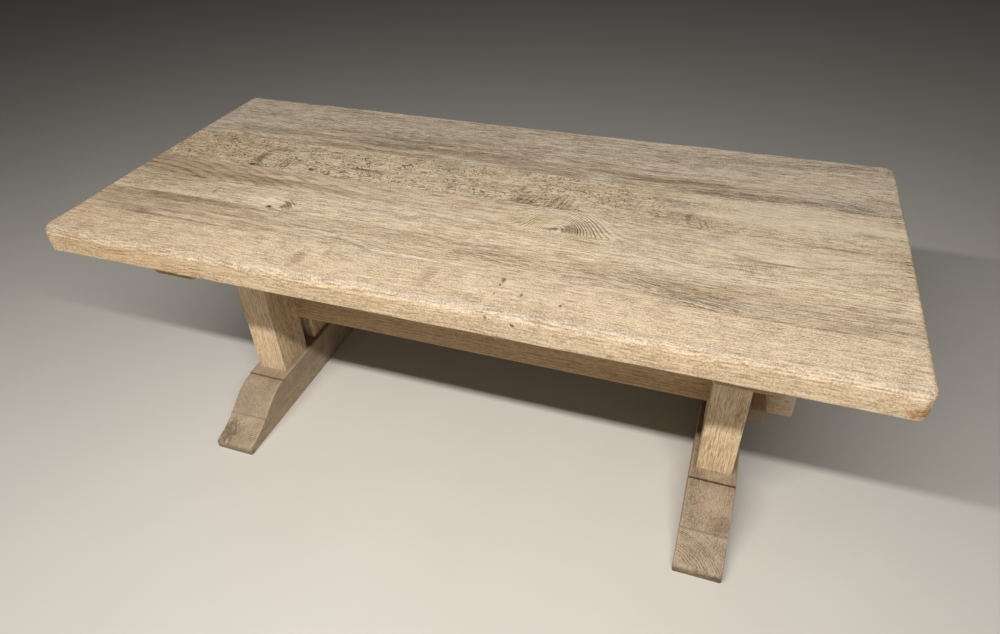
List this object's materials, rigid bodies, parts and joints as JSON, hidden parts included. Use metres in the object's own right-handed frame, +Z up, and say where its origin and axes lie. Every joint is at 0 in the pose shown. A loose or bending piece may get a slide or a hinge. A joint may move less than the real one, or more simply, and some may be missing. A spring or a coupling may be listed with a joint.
{
  "type": "trestle dining table",
  "caption": "Long oak trestle table: thick boarded top on paired-post trestles with sloping feet, joined by a keyed stretcher; seats people for meals.",
  "frame": {"origin": "on the floor under the middle of the top", "axes": "+X along the length of the top, to the right seen from the front, +Y to the rear, +Z up"},
  "size_m": [2, 0.92, 0.766],
  "materials": {
    "top_oak": "sanded bare oak, matt",
    "inner_oak": "planed bare oak",
    "trestle_oak": "sanded bare oak, matt",
    "key_oak": "sanded bare oak, matt",
    "screw_steel": "zinc plated"
  },
  "bodies": {
    "table": {"top_board_1": "top_oak", "top_board_2": "top_oak", "top_board_3": "top_oak", "top_board_4": "top_oak", "top_board_5": "top_oak", "top_board_6": "top_oak", "top_tongue_1": "inner_oak", "top_tongue_2": "inner_oak", "top_tongue_3": "inner_oak", "top_tongue_4": "inner_oak", "top_tongue_5": "inner_oak", "left_foot_lower": "trestle_oak", "left_foot_upper": "trestle_oak", "left_front_post": "trestle_oak", "left_rear_post": "trestle_oak", "left_bearer": "trestle_oak", "right_foot_lower": "trestle_oak", "right_foot_upper": "trestle_oak", "right_front_post": "trestle_oak", "right_rear_post": "trestle_oak", "right_bearer": "trestle_oak", "stretcher": "trestle_oak", "left_top_screws": "screw_steel", "right_top_screws": "screw_steel", "left_top_washers": "screw_steel", "right_top_washers": "screw_steel"},
    "left_key": {"left_key": "key_oak"},
    "right_key": {"right_key": "key_oak"}
  },
  "joints": [
    {"name": "left_key_draw", "type": "slide", "parent": "table", "child": "left_key", "axis": [0, 1, 0], "range_m": [-0.13, 0]},
    {"name": "right_key_draw", "type": "slide", "parent": "table", "child": "right_key", "axis": [0, 1, 0], "range_m": [-0.13, 0]}
  ]
}
